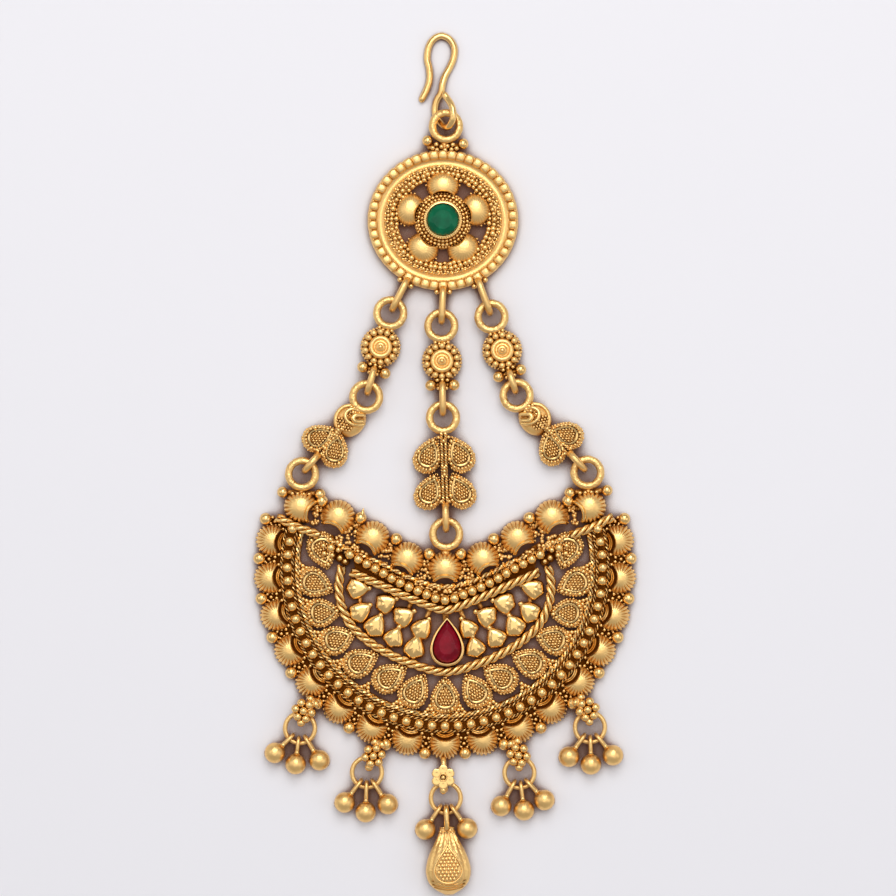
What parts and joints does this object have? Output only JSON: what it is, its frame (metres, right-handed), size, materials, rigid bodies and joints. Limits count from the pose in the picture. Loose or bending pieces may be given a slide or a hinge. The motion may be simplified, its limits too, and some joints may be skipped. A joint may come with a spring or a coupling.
{
  "type": "jhoomar hair ornament",
  "caption": "Gold hair ornament lying flat: wire hook, round medallion with a green stone, link chains, pierced crescent plate with a red drop stone, and hanging balls.",
  "frame": {"origin": "middle of the ornament's box, on the surface that it lies on", "axes": "+X to the wearer's left as seen from the front, +Y along the ornament towards the hook, +Z out of its face"},
  "size_m": [0.0572, 0.129, 0.0045],
  "materials": {
    "gold": "antique gold plate, polished high spots over brown recesses",
    "green_stone": "polished cut stone",
    "red_stone": "polished cut stone"
  },
  "bodies": {
    "root": {"top_hook": "gold", "medallion": "gold", "left_rosette_link": "gold", "middle_rosette_link": "gold", "right_rosette_link": "gold", "left_leaf_link": "gold", "middle_leaf_link": "gold", "right_leaf_link": "gold", "crescent_plate": "gold", "drop_ring_1": "gold", "drop_ring_2": "gold", "drop_ring_3": "gold", "drop_ring_4": "gold", "drop_ring_5": "gold", "ball_1_1": "gold", "ball_1_2": "gold", "ball_1_3": "gold", "ball_2_1": "gold", "ball_2_2": "gold", "ball_2_3": "gold", "ball_3_1": "gold", "ball_3_2": "gold", "ball_4_1": "gold", "ball_4_2": "gold", "ball_4_3": "gold", "ball_5_1": "gold", "ball_5_2": "gold", "ball_5_3": "gold", "pear_drop": "gold", "green_stone": "green_stone", "red_stone": "red_stone"}
  },
  "joints": []
}
